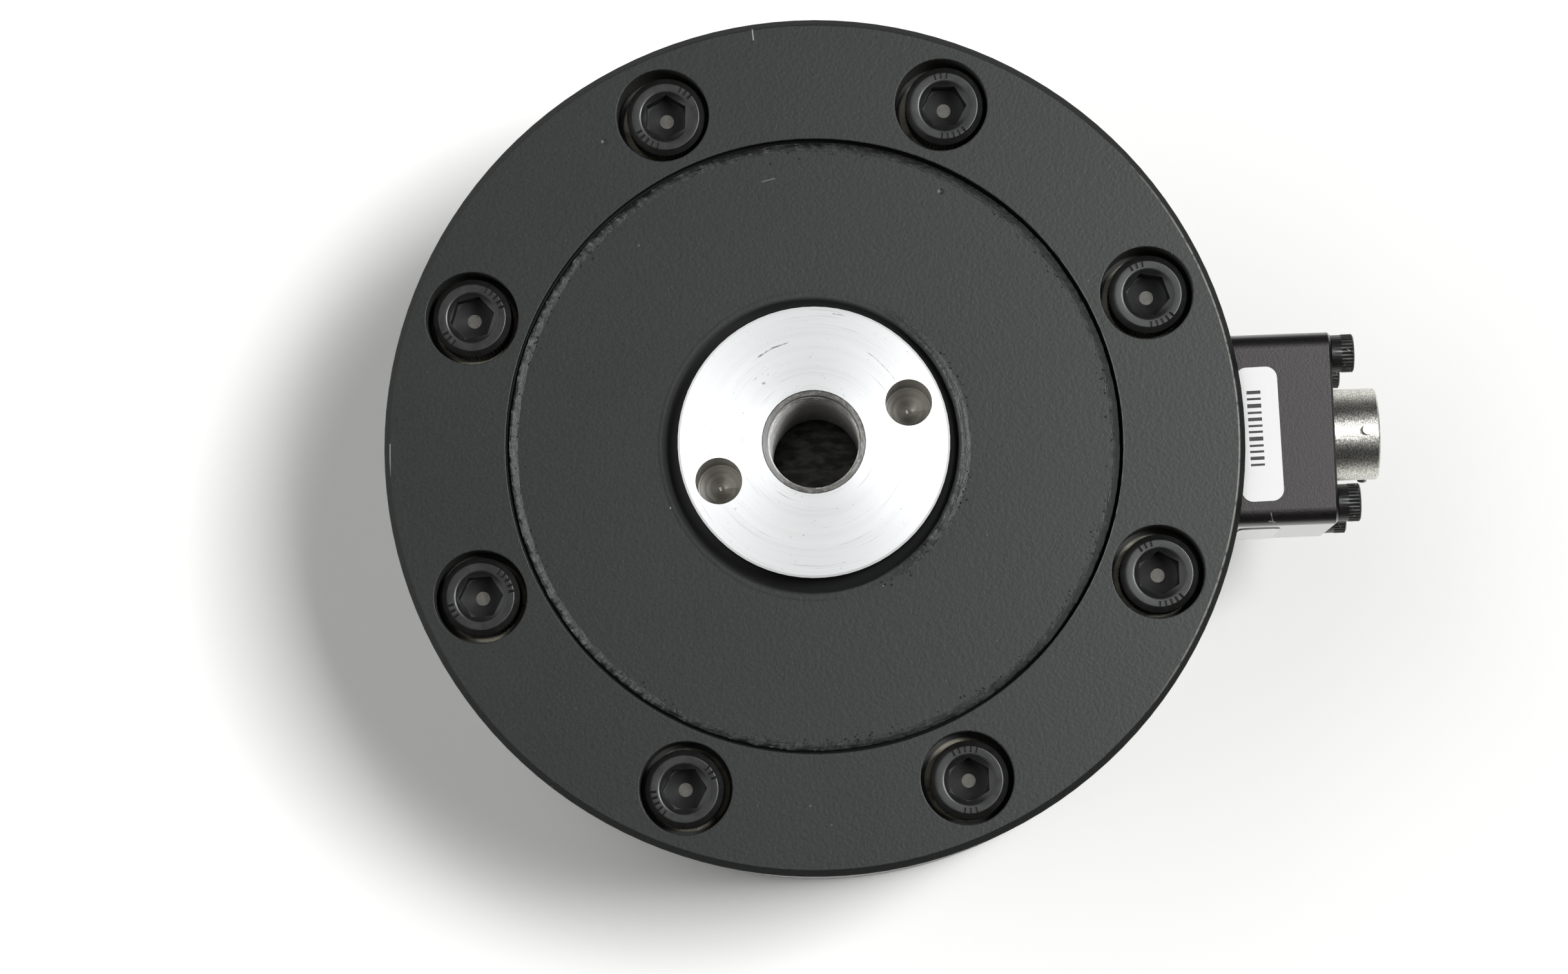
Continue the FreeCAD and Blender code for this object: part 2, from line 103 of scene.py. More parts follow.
# Rim screws: their circle, their counterbores, and for each screw the turn of its socket, the turns
# of its two rows of ticks, and its place in the counterbore in millimetres
RIM_SCREW_CIRCLE = 44.455 * MM
COUNTERBORE_RADIUS = 5.655 * MM
RIM_SOCKET_TURNS = (48, 0, 27, 11, 2, 1, 30, 30)
RIM_SCREW_STEP = TURN / len(RIM_SOCKET_TURNS)
RIM_TICK_TURNS = (
    (110, 295), (95, 285), (50, 230), (220, 40), (205, 30), (30, 205), (270, 97), (115, 290),
)
RIM_HEAD_SHIFTS = (
    (0.21, -0.05), (0.38, 0.01), (0.33, -0.02), (-0.07, 0.18),
    (-0.07, 0.09), (-0.19, -0.08), (0.22, -0.21), (0.15, -0.14),
)

# Camera, worked out from the photograph's ellipses
CAMERA_PLACE = Vector((0.004566, -0.055217, 0.630174))
CAMERA_RIGHT = Vector((0.99919, -0.03608, -0.01777))
CAMERA_UP = Vector((0.03749, 0.99556, 0.08636))
CAMERA_BACK = Vector((0.01457, -0.08696, 0.99611))
CAMERA_LENS = 109.25
CAMERA_SENSOR = 36.0

# Material indices of the flexure body's faces
BLACK, TURNED, BORE, DRILLED, COUNTERBORE = range(5)

# Faintly green tint of the highlights on black surfaces
COOL_TINT = (0.96, 1.0, 0.985, 1.0)


class Finish:
    """One procedural material: a principled shader and the nodes that feed it."""

    def __init__(self, name, **uniform):
        self.material = bpy.data.materials.new(name)
        self.material.use_nodes = True
        self.tree = self.material.node_tree
        self.shader = self.tree.nodes["Principled BSDF"]
        for key, value in uniform.items():
            self.shader.inputs[key.replace("_", " ")].default_value = value
        self.place = self.node("ShaderNodeTexCoord").outputs["Object"]

    def node(self, kind, **settings):
        made = self.tree.nodes.new(kind)
        for key, value in settings.items():
            setattr(made, key, value)
        return made

    def put(self, socket, value):
        """Links an output to a socket, or sets a plain value on it."""
        if isinstance(value, bpy.types.NodeSocket):
            self.tree.links.new(value, socket)
        else:
            socket.default_value = value

    def feed(self, name, output):
        self.tree.links.new(output, self.shader.inputs[name])

    def math(self, operation, first, second=0.0, clamp=False):
        made = self.node("ShaderNodeMath", operation=operation, use_clamp=clamp)
        self.put(made.inputs[0], first)
        self.put(made.inputs[1], second)
        return made.outputs[0]

    def vector(self, operation, first, second=(0.0, 0.0, 0.0), scale=None):
        made = self.node("ShaderNodeVectorMath", operation=operation)
        self.put(made.inputs[0], first)
        self.put(made.inputs[1], second)
        if scale is not None:
            self.put(made.inputs["Scale"], scale)
        scalar = operation in ("LENGTH", "DISTANCE", "DOT_PRODUCT")
        return made.outputs["Value" if scalar else "Vector"]

    def axis(self, name):
        """One coordinate of the place on the object."""
        made = self.node("ShaderNodeSeparateXYZ")
        self.put(made.inputs[0], self.place)
        return made.outputs[name]

    def combine(self, x, y, z=0.0):
        """Vector from its coordinates."""
        made = self.node("ShaderNodeCombineXYZ")
        for socket, value in zip(made.inputs, (x, y, z)):
            self.put(socket, value)
        return made.outputs[0]

    def flat(self):
        """Place on the object without its height."""
        return self.vector("MULTIPLY", self.place, (1.0, 1.0, 0.0))

    def radius(self):
        """Distance from the load axis."""
        return self.vector("LENGTH", self.flat())

    def turn(self):
        """Angle about the load axis."""
        return self.math("ARCTAN2", self.axis("Y"), self.axis("X"))

    def noise(self, size, detail=3.0, roughness=0.5, place=None, stretch=None):
        """Noise between 0 and 1 with lumps of about the given size in metres."""
        at = self.place if place is None else place
        if stretch is not None:
            at = self.vector("MULTIPLY", at, stretch)
        made = self.node("ShaderNodeTexNoise")
        self.put(made.inputs["Vector"], at)
        made.inputs["Scale"].default_value = 1.0 / size
        made.inputs["Detail"].default_value = detail
        made.inputs["Roughness"].default_value = roughness
        return made.outputs[0]

    def rings(self, distance, size, detail=4.0):
        """Noise that depends only on a distance, so that it makes rings."""
        made = self.node("ShaderNodeTexNoise", noise_dimensions="1D")
        self.put(made.inputs["W"], distance)
        made.inputs["Scale"].default_value = 1.0 / size
        made.inputs["Detail"].default_value = detail
        return made.outputs[0]

    def span(self, value, low, high, to_low=0.0, to_high=1.0):
        """Maps a range onto another one, held at its ends."""
        made = self.node("ShaderNodeMapRange")
        self.put(made.inputs["Value"], value)
        ends = (("From Min", low), ("From Max", high), ("To Min", to_low), ("To Max", to_high))
        for key, number in ends:
            made.inputs[key].default_value = number
        return made.outputs[0]

    def blend(self, share, first, second):
        """Colour between two colours."""
        made = self.node("ShaderNodeMix", data_type="RGBA")
        self.put(made.inputs["Factor"], share)
        self.put(made.inputs[6], first)
        self.put(made.inputs[7], second)
        return made.outputs[2]

    def bump(self, height, distance, strength=1.0, edge=0.0):
        """Fine relief, over edges that look broken by a small radius where one is given."""
        made = self.node("ShaderNodeBump")
        made.inputs["Strength"].default_value = strength
        made.inputs["Distance"].default_value = distance
        self.put(made.inputs["Height"], height)
        if edge:
            bevel = self.node("ShaderNodeBevel", samples=6)
            bevel.inputs["Radius"].default_value = edge
            self.put(made.inputs["Normal"], bevel.outputs[0])
        self.feed("Normal", made.outputs[0])

    def near_line(self, start, end, width):
        """1 on a straight mark from start to end, falling to 0 at its width."""
        run = Vector(end) - Vector(start)
        away = self.vector("SUBTRACT", self.place, tuple(start))
        share = self.vector("DOT_PRODUCT", away, tuple(run / run.length_squared))
        share = self.math("ADD", share, 0.0, clamp=True)
        foot = self.vector("SCALE", tuple(run), scale=share)
        distance = self.vector("DISTANCE", away, foot)
        return self.span(distance, width, width / 3)

    def largest(self, values):
        best = values[0]
        for value in values[1:]:
            best = self.math("MAXIMUM", best, value)
        return best

    def product(self, first, *others):
        for other in others:
            first = self.math("MULTIPLY", first, other)
        return first


def grey(level):
    return (level, level, level, 1.0)


def spot(x, y, level):
    """Place at a level, from millimetres along X and Y."""
    return (x * MM, y * MM, level)


# Materials

def black_finish(name, marks=(), dents=(), edge_wear_and_highlights=(), worn_middle=None):
    """Black matte finish with a fine peel and pale specks.

    marks are nicks of (start, end, width, level), dents small round ones of (place, radius),
    the third list the radii of edges painted pale on the side towards the connector, partly as wear
    and partly as a painted highlight of the key light, with how pale, and worn_middle the radius of
    a rubbed patch on the load axis.
    """
    gloss = 0.35
    finish = Finish(name, Specular_Tint=COOL_TINT, Specular_IOR_Level=0.53)
    grain = finish.noise(0.3 * MM, detail=5.0, roughness=0.7)
    peel = finish.noise(0.42 * MM, detail=3.0, roughness=0.6)
    drift = finish.noise(14 * MM, detail=3.0)
    speck = finish.span(finish.noise(0.8 * MM, detail=1.0), 0.8, 0.84)
    tone = finish.blend(
        finish.span(grain, 0.33, 0.67), (0.002, 0.0024, 0.0023, 1.0), (0.011, 0.0118, 0.0115, 1.0))
    tone = finish.blend(finish.product(speck, 0.4), tone, grey(0.2))
    for start, end, width, level in marks:
        tone = finish.blend(finish.near_line(start, end, width), tone, grey(level))
    # Painted highlight: edges on the side towards the connector, which faces the key light, are
    # painted pale, partly as wear.
    for edge, share in edge_wear_and_highlights:
        away = finish.math("ABSOLUTE", finish.math("SUBTRACT", finish.radius(), edge))
        bare = finish.product(
            finish.span(away, 0.15 * MM, 0.05 * MM),
            finish.span(finish.axis("X"), 0.72 * edge, 0.9 * edge, 0.0, share),
            finish.span(finish.axis("Z"), RIM_FACE - 0.3 * MM, RIM_FACE - 0.2 * MM),
            finish.span(finish.noise(1.2 * MM, detail=4.0), 0.28, 0.52))
        tone = finish.blend(bare, tone, (0.27, 0.26, 0.235, 1.0))
    if worn_middle:
        rubbed = finish.noise(1.2 * MM, detail=5.0, stretch=(0.6, 1.4, 1.0))
        bare = finish.product(
            finish.span(finish.radius(), worn_middle, 0.6 * worn_middle),
            finish.span(rubbed, 0.4, 0.6, 0.5, 1.0))
        tone = finish.blend(bare, tone, (0.95, 0.94, 0.88, 1.0))
    finish.feed("Base Color", tone)
    rough = finish.math("ADD", finish.product(grain, 0.07), finish.product(drift, 0.05))
    finish.feed("Roughness", finish.math("ADD", rough, gloss))
    for place, radius in dents:
        away = finish.vector("DISTANCE", finish.place, place)
        peel = finish.math("SUBTRACT", peel, finish.span(away, radius, radius / 3, 0.0, 3.0))
    finish.bump(peel, 0.05 * MM, strength=0.4, edge=0.22 * MM)
    return finish.material


def turned_metal():
    """Bare aluminium, faced on a lathe: rings, fine arcs and a few dark scratches."""
    finish = Finish("turned_aluminium", Metallic=1.0, Anisotropic=0.3, Anisotropic_Rotation=0.25)
    radius = finish.radius()
    rings = finish.rings(radius, 0.25 * MM)
    broad = finish.rings(radius, 1.6 * MM, detail=2.0)
    polar = finish.combine(finish.product(finish.turn(), 3 * MM), radius)
    arcs = finish.noise(2.2 * MM, detail=6.0, roughness=0.6, place=polar, stretch=(0.8, 9.0, 1.0))
    scratch = finish.span(arcs, 0.61, 0.7)
    fleck = finish.span(finish.noise(0.5 * MM, detail=2.0), 0.7, 0.76)
    tone = finish.blend(broad, (0.622, 0.636, 0.64, 1.0), (0.715, 0.727, 0.731, 1.0))
    tone = finish.blend(finish.product(scratch, 0.65), tone, grey(0.38))
    tone = finish.blend(finish.product(fleck, 0.5), tone, grey(0.3))
    # Scratches of (start, end, width, share), in millimetres
    marks = [
        ((-6.3, 10.56), (-4.6, 11.55), 0.13, 1.0), ((-4.6, 11.55), (-2.73, 12.14), 0.11, 1.0),
        ((6.87, 10.6), (7.75, 9.9), 0.09, 0.5), ((7.75, 9.9), (8.6, 9.0), 0.09, 0.4),
        ((8.6, 9.0), (9.4, 8.1), 0.09, 0.5), ((9.4, 8.1), (10.05, 7.2), 0.09, 0.4),
        ((2.85, 15.46), (4.32, 15.17), 0.07, 0.7), ((-5.85, 7.3), (-5.7, 7.36), 0.2, 0.7),
    ]
    worn = finish.largest([
        finish.product(
            finish.near_line(spot(*start, HUB_TOP), spot(*end, HUB_TOP), width * MM), share)
        for start, end, width, share in marks
    ])
    broken = finish.span(finish.noise(0.7 * MM, detail=3.0), 0.4, 0.55, 0.35, 1.0)
    tone = finish.blend(finish.product(worn, broken), tone, grey(0.16))
    broken_edge = finish.span(finish.axis("Z"), HUB_TOP - 0.002 * MM, HUB_TOP - 0.006 * MM)
    finish.feed("Base Color", finish.blend(broken_edge, tone, grey(0.95)))
    rough = finish.span(rings, 0.2, 0.8, 0.42, 0.54)
    finish.feed("Roughness", finish.math("MAXIMUM", rough, finish.product(broken_edge, 0.85)))
    tangent = finish.node("ShaderNodeTangent", direction_type="RADIAL", axis="Z")
    finish.feed("Tangent", tangent.outputs[0])
    finish.bump(rings, 0.012 * MM, strength=0.3)
    return finish.material


def bore_metal():
    """Bare aluminium of the threaded hole: scuffed and dirty at its mouth, with painted light on
    its
    -X side and painted shade in its thread roots and further down.
    """
    finish = Finish("bore_aluminium", Metallic=1.0)
    radius = finish.radius()
    lean = finish.math("DIVIDE", finish.axis("X"), radius)
    smear = finish.noise(2.5 * MM, detail=4.0, stretch=(1.0, 1.0, 0.4))
    tone = finish.blend(smear, (0.56, 0.55, 0.53, 1.0), (0.82, 0.81, 0.79, 1.0))
    # Painted light: the -X side, whose wall faces the key light, is painted lighter.
    tone = finish.blend(finish.span(lean, -0.3, -0.9), tone, grey(0.95))
    turn = finish.math("ARCTAN2", finish.axis("X"), finish.axis("Y"))
    polar = finish.combine(finish.product(turn, BORE_RADIUS), radius, finish.axis("Z"))
    streak = finish.noise(0.5 * MM, detail=5.0, roughness=0.7, place=polar, stretch=(0.3, 1.6, 1.6))
    patch = finish.noise(0.7 * MM, detail=4.0, roughness=0.65, place=polar)
    mouth = finish.span(finish.axis("Z"), HUB_TOP - 5 * MM, HUB_TOP - 2 * MM, 0.2, 1.0)
    rubbed = finish.product(finish.span(patch, 0.47, 0.38), mouth)
    tone = finish.blend(rubbed, tone, grey(0.97))
    # Dirt at the mouth, painted thinner on the -X side as part of its painted light.
    dirt_and_shade = finish.product(
        finish.span(streak, 0.4, 0.6, 0.0, 0.85), mouth, finish.span(lean, -0.9, -0.3, 0.35, 1.0),
        finish.span(patch, 0.38, 0.6, 0.3, 1.0))
    tone = finish.blend(dirt_and_shade, tone, (0.2, 0.195, 0.16, 1.0))
    edge = finish.span(radius, MOUTH_RADIUS - 0.18 * MM, MOUTH_RADIUS - 0.06 * MM, 0.0, 0.7)
    tone = finish.blend(edge, tone, grey(0.12))
    # Painted shade in the thread roots below the mouth.
    groove = finish.span(radius, BORE_RADIUS - 0.2 * MM, BORE_RADIUS - 0.03 * MM)
    below = finish.span(finish.axis("Z"), HUB_TOP - 0.8 * MM, HUB_TOP - 1.2 * MM)
    tone = finish.blend(finish.product(groove, below), tone, (0.2, 0.19, 0.17, 1.0))
    # Painted shade that deepens further down the hole.
    deep = finish.span(finish.axis("Z"), HUB_TOP - 3 * MM, HUB_TOP - 10 * MM, 0.0, 0.4)
    finish.feed("Base Color", finish.blend(deep, tone, (0.2, 0.195, 0.18, 1.0)))
    finish.feed("Roughness", finish.span(streak, 0.3, 0.7, 0.5, 0.7))
    finish.bump(finish.math("ADD", streak, patch), 0.07 * MM, strength=0.7)
    return finish.material


def drilled_metal():
    """Bare aluminium of the two spanner holes: drill rings about each axis and a small point."""
    finish = Finish("drilled_aluminium", Metallic=1.0)
    flat = finish.flat()
    first = finish.vector("DISTANCE", flat, tuple(SPANNER_PLACE))
    second = finish.vector("DISTANCE", flat, tuple(-SPANNER_PLACE))
    distance = finish.math("MINIMUM", first, second)
    rings = finish.rings(distance, 0.35 * MM, detail=3.0)
    finish.feed("Base Color", finish.blend(
        finish.span(rings, 0.35, 0.65), (0.5, 0.488, 0.455, 1.0), (0.68, 0.667, 0.632, 1.0)))
    finish.feed("Roughness", finish.span(rings, 0.3, 0.7, 0.4, 0.55))
    point_radius = 0.28 * MM
    point_slope = 0.55
    point = finish.product(finish.math("MINIMUM", distance, point_radius), -point_slope / MM)
    finish.bump(finish.math("ADD", point, finish.product(rings, 0.022)), MM)
    return finish.material


def counterbore_metal():
    """Counterbores: dusty black, their floors rubbed bare in a ring next to each screw's head."""
    finish = Finish("counterbore", Specular_IOR_Level=0.56)
    index = finish.math("FLOOR", finish.math("DIVIDE", finish.turn(), RIM_SCREW_STEP))
    turn = finish.product(finish.math("ADD", index, 0.5), RIM_SCREW_STEP)
    screw = finish.combine(
        finish.product(finish.math("COSINE", turn), RIM_SCREW_CIRCLE),
        finish.product(finish.math("SINE", turn), RIM_SCREW_CIRCLE))
    distance = finish.vector("DISTANCE", finish.flat(), screw)
    patch = finish.noise(2.2 * MM, detail=4.0)
    bare = finish.product(
        finish.span(distance, 5.2 * MM, 5.0 * MM), finish.span(patch, 0.3, 0.5, 0.3, 1.0))
    finish.feed("Base Color", finish.blend(
        bare, (0.06, 0.059, 0.056, 1.0), (0.4, 0.38, 0.31, 1.0)))
    finish.feed("Metallic", bare)
    finish.feed("Roughness", finish.span(patch, 0.3, 0.7, 0.6, 0.5))
    finish.bump(patch, 0.02 * MM, strength=0.3)
    return finish.material


def sealant():
    """Black sealant: crumbly on its crest, with painted shade in its crevice and in the hub's
    shadow beside the hub.
    """
    finish = Finish("sealant", Specular_Tint=COOL_TINT, Specular_IOR_Level=0.53)
    radius = finish.radius()
    polar = finish.combine(finish.product(finish.turn(), radius), radius)
    crumbs = finish.noise(
        0.5 * MM, detail=4.0, roughness=0.65, place=polar, stretch=(0.4, 1.5, 1.0))
    crest = finish.span(finish.axis("Z"), COVER_TOP - 0.3 * MM, COVER_TOP - 0.06 * MM)
    lean = finish.math("DIVIDE", finish.axis("X"), radius)
    # Painted shadow: beside the hub the sealant takes the crevice's tone and finish out to the edge
    # of the hub's cast shadow, which reaches further towards -X.
    past_hub = finish.math("SUBTRACT", radius, HUB_RADIUS + 1.5 * MM)
    past_hub_shadow = finish.math("ADD", past_hub, finish.product(lean, 0.4 * MM))
    crest = finish.math("MINIMUM", crest, finish.span(past_hub_shadow, -0.15 * MM, 0.45 * MM))
    tone = finish.blend(crumbs, grey(0.002), grey(0.011))
    # Painted shade in the crevice and the hub's shadow, painted lighter towards -X, where the fill
    # light falls.
    crevice_and_shadow_tone = finish.blend(finish.span(lean, -0.3, -0.9), grey(0.003), grey(0.03))
    finish.feed("Base Color", finish.blend(crest, crevice_and_shadow_tone, tone))
    pit_roughness = 0.95
    dull = finish.math("SUBTRACT", pit_roughness, finish.span(crumbs, 0.3, 0.7, 0.36, 0.44))
    finish.feed("Roughness", finish.math("SUBTRACT", pit_roughness, finish.product(crest, dull)))
    rugged = finish.math(
        "MAXIMUM", finish.span(lean, 0.3, 0.6), finish.span(past_hub, 5 * MM, 6 * MM))
    calm = finish.product(finish.math("SUBTRACT", 1.0, rugged), 0.24)
    peel = finish.product(finish.noise(0.42 * MM, detail=3.0, roughness=0.6), calm)
    relief = finish.math("ADD", finish.product(crumbs, rugged), peel)
    finish.bump(relief, 0.12 * MM, strength=0.7)
    return finish.material


def black_oxide(name, dull_below, worn_end=None):
    """Oiled black oxide on the cap screws, duller below a level, with bare flecks at an end."""
    finish = Finish(name, Specular_Tint=COOL_TINT, Specular_IOR_Level=0.62)
    stain = finish.noise(1.1 * MM, detail=5.0, roughness=0.6)
    grain = finish.noise(0.18 * MM, detail=3.0)
    tone = finish.blend(stain, (0.004, 0.004, 0.004, 1.0), (0.016, 0.016, 0.015, 1.0))
    if worn_end:
        end = finish.span(finish.axis("X"), worn_end - 1.6 * MM, worn_end - 0.4 * MM)
        fleck = finish.span(finish.noise(0.4 * MM, detail=3.0), 0.63, 0.71)
        tone = finish.blend(finish.product(end, fleck), tone, (0.4, 0.38, 0.33, 1.0))
    finish.feed("Base Color", tone)
    dull = finish.span(finish.axis("Z"), dull_below, dull_below - 0.5 * MM, 0.0, 0.2)
    finish.feed("Roughness", finish.math("ADD", finish.span(stain, 0.3, 0.7, 0.32, 0.4), dull))
    finish.bump(grain, 0.012 * MM, strength=0.4)
    return finish.material


def dark_anodised():
    """Brownish black anodised block with a fine blasted grain and a nick on its near edge."""
    finish = Finish(
        "dark_anodised", Specular_Tint=(1.0, 0.95, 0.965, 1.0), Specular_IOR_Level=0.54,
        Coat_Weight=1.0, Coat_Roughness=0.08)
    grain = finish.noise(0.2 * MM, detail=3.0, roughness=0.65)
    blotch = finish.noise(1.8 * MM, detail=4.0)
    tone = finish.blend(
        finish.span(grain, 0.36, 0.64), (0.001, 0.0008, 0.0009, 1.0), (0.008, 0.0066, 0.007, 1.0))
    tone = finish.blend(
        finish.span(blotch, 0.5, 0.7, 0.0, 0.5), tone, (0.01, 0.007, 0.0065, 1.0))
    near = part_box("connector_block")[0].y
    nicks = [
        finish.near_line(
            (BLOCK_FRONT - 8.23 * MM, near + 1.49 * MM, BLOCK_TOP - 0.05 * MM),
            (BLOCK_FRONT - 7.98 * MM, near + 0.5 * MM, BLOCK_TOP - 0.6 * MM), 0.12 * MM),
        finish.near_line(
            (BLOCK_FRONT - 8.4 * MM, near + 0.5 * MM, BLOCK_TOP - 0.6 * MM),
            (BLOCK_FRONT - 7.75 * MM, near + 0.38 * MM, BLOCK_TOP - 0.76 * MM), 0.16 * MM),
    ]
    chipped = finish.product(finish.largest(nicks), finish.span(grain, 0.3, 0.55, 0.2, 1.0))
    finish.feed("Base Color", finish.blend(chipped, tone, grey(0.3)))
    finish.feed("Roughness", finish.span(grain, 0.3, 0.7, 0.35, 0.41))
    finish.bump(grain, 0.03 * MM, strength=0.6, edge=0.15 * MM)
    return finish.material


def nickel():
    """Matte nickel plate on the receptacle's shell, with a grain drawn out round its axis."""
    finish = Finish("nickel_plate", Metallic=1.0, Anisotropic=0.45, Anisotropic_Rotation=0.25)
    grain = finish.noise(0.17 * MM, detail=3.0, roughness=0.75, stretch=(1.3, 0.6, 0.6))
    cloud = finish.noise(3 * MM, detail=2.0)
    tone = finish.blend(cloud, (0.36, 0.351, 0.315, 1.0), (0.46, 0.449, 0.408, 1.0))
    speckle = finish.span(grain, 0.44, 0.58)
    finish.feed("Base Color", finish.blend(speckle, tone, (0.95, 0.94, 0.89, 1.0)))
    finish.feed("Roughness", finish.span(grain, 0.3, 0.7, 0.33, 0.42))
    tangent = finish.node("ShaderNodeTangent", direction_type="RADIAL", axis="X")
    finish.feed("Tangent", tangent.outputs[0])
    finish.bump(grain, 0.06 * MM, strength=0.8)
    return finish.material


def paper():
    """White sticker paper."""
    finish = Finish("label_paper", Roughness=0.5, Coat_Weight=1.0, Coat_Roughness=0.06)
    fibre = finish.noise(0.5 * MM, detail=4.0)
    finish.feed("Base Color", finish.blend(fibre, grey(0.93), grey(0.95)))
    finish.bump(fibre, 0.004 * MM, strength=0.3)
    return finish.material


def mottled(name, first, second, size, gloss, metallic=0.0):
    """Plain stuff with a fine mottle in its colour, gloss and surface."""
    finish = Finish(name, Roughness=gloss, Metallic=metallic)
    mottle = finish.noise(size, detail=4.0)
    finish.feed("Base Color", finish.blend(mottle, first + (1.0,), second + (1.0,)))
    finish.feed("Roughness", finish.span(mottle, 0.3, 0.7, gloss - 0.06, gloss + 0.06))
    finish.bump(mottle, 0.01 * MM, strength=0.4)
    return finish.material


def foil_gauge():
    """Amber gauge backing with fine metal grid lines across it."""
    finish = Finish("gauge_foil", Roughness=0.35)
    wave = finish.node("ShaderNodeTexWave", wave_type="BANDS", bands_direction="Z")
    finish.put(wave.inputs["Vector"], finish.place)
    wave.inputs["Scale"].default_value = 0.4 / MM
    wave.inputs["Distortion"].default_value = 0.3
    line = finish.span(wave.outputs[1], 0.6, 0.7)
    finish.feed("Base Color", finish.blend(line, (0.42, 0.20, 0.04, 1.0), (0.45, 0.40, 0.33, 1.0)))
    finish.feed("Metallic", line)
    finish.bump(line, 0.01 * MM, strength=0.3)
    return finish.material


def pale_floor():
    """Pale matte table top: a white sheet under the object, seen as white, and grey further out."""
    finish = Finish("pale_floor")
    path = finish.node("ShaderNodeLightPath")
    kinds = ("Camera", "Glossy", "Transmission")
    seen = finish.largest([path.outputs[f"Is {kind} Ray"] for kind in kinds])
    far = finish.span(finish.radius(), 0.14, 0.31)
    table = finish.blend(far, grey(0.93), grey(0.27))
    backdrop = finish.blend(far, (1.16, 1.163, 1.14, 1.0), grey(0.28))
    matte = finish.node("ShaderNodeBsdfDiffuse")
    finish.put(matte.inputs["Color"], finish.blend(seen, table, backdrop))
    finish.put(finish.tree.nodes["Material Output"].inputs["Surface"], matte.outputs[0])
    return finish.material


# Meshes

def round_point(radius, turn, z=0.0):
    """Point at a radius and an angle about the Z axis."""
    return Vector((radius * math.cos(turn), radius * math.sin(turn), z))


def add_piece(name, points, faces, material, crease=35.0):
    """New mesh object with smooth faces, creased where they meet at more than an angle."""
    mesh = bpy.data.meshes.new(name)
    mesh.from_pydata([tuple(p) for p in points], [], faces)
    mesh.validate()
    mesh.shade_smooth()
    mesh.set_sharp_from_angle(angle=math.radians(crease))
    mesh.materials.append(material)
    piece = bpy.data.objects.new(name, mesh)
    bpy.context.scene.collection.objects.link(piece)
    return piece


def skin(rings, close_first=False, close_last=False):
    """Points and quads through rings of equally many points, with fans over open ends."""
    count = len(rings[0])
    points = [p for ring in rings for p in ring]
    faces = []
    for i in range(len(rings) - 1):
        here = i * count
        above = here + count
        for j in range(count):
            k = (j + 1) % count
            faces.append((here + j, here + k, above + k, above + j))
    if close_first:
        faces.append(tuple(reversed(range(count))))
    if close_last:
        last = (len(rings) - 1) * count
        faces.append(tuple(range(last, last + count)))
    return points, faces


def dress(node, *materials, choose=None):
    """Gives a node its materials; choose returns the index for a face's centre and normal."""
    mesh = nodes[node].data
    mesh.materials.clear()
    for material in materials:
        mesh.materials.append(material)
    if choose:
        for face in mesh.polygons:
            face.material_index = choose(face.center, face.normal)


def place_piece(piece, slot, *stands_for):
    """Puts a new piece on the one body, and hides the nodes that it stands for."""
    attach(piece, "root")
    if stands_for:
        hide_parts(*stands_for)
    return piece


# Sealant beads: each profile has pairs of a share of the width and a share of the depth or height

BEAD_STEPS = 1800
CREVICE = ((0.0, 0.1), (0.12, 0.5), (0.3, 0.9), (0.55, 1.0), (0.75, 0.75), (0.9, 0.3))
RISE = ((0.0, 0.15), (0.25, 0.5), (0.58, 0.84))
FALL = (
    (0.0, 1.0), (0.05, 0.89), (0.12, 0.75), (0.2, 0.6), (0.3, 0.44), (0.42, 0.29), (0.55, 0.17),
    (0.7, 0.08), (0.84, 0.025), (0.94, 0.005),
)
TERRACE = (
    (0.0, 1.0), (0.05, 0.95), (0.15, 0.78), (0.25, 0.58), (0.34, 0.43), (0.42, 0.4), (0.6, 0.4),
    (0.76, 0.43), (0.86, 0.26), (0.95, 0.06),
)


def rim_bead_shape(turn):
    """Section of the bead along the rim, the same all round.

    It has the width and depth of the crevice, the height of the ridge, the place of its crest and
    the profile of its fall.
    """
    gap, depth, ridge, crest = 0.38, 0.7, 0.26, 0.04
    return gap * MM, depth * MM, ridge * MM, crest, FALL


def hub_bead_shape(turn):
    """The same for the bead along the hub: off centre, and thickest towards the connector."""
    thick = max(0.0, min(1.0, (math.cos(turn) - 0.5) / 0.26))
    near = max(0.0, -math.sin(turn)) ** 4
    gap = min(1.52, 1.4 - 0.4 * math.cos(turn) + 0.3 * near)
    depth = 0.45 + 0.3 * thick
    ridge = 0.02 + 0.22 * thick
    crest = 0.06
    return gap * MM, depth * MM, ridge * MM, crest, TERRACE


def crumbs(toe, side, seed, count):
    """Small crumbs that came off a bead, in a few places along its toe."""
    chance = random.Random(seed)
    corners = 5
    sink = 0.02 * MM
    places = [chance.uniform(0, TURN) for _ in range(count // 8)]
    points = []
    faces = []
    for _ in range(count):
        turn = chance.choice(places) + chance.gauss(0, 0.07)
        radius = toe + side * chance.gauss(0.0, 0.35) * MM
        size = chance.uniform(0.07, 0.17) * MM
        foot = round_point(radius, turn, COVER_TOP - sink)
        first = len(points)
        for share, rise in ((1.0, 0.0), (0.7, 0.6)):
            for k in range(corners):
                angle = TURN * k / corners + turn
                out = size * share * chance.uniform(0.75, 1.25)
                points.append(foot + round_point(out, angle, size * rise))
        points.append(foot + Vector((0, 0, 0.85 * size)))
        for k in range(corners):
            m = (k + 1) % corners
            faces.append((first + k, first + m, first + corners + m, first + corners + k))
            faces.append((first + corners + k, first + corners + m, first + 2 * corners))
    return points, faces


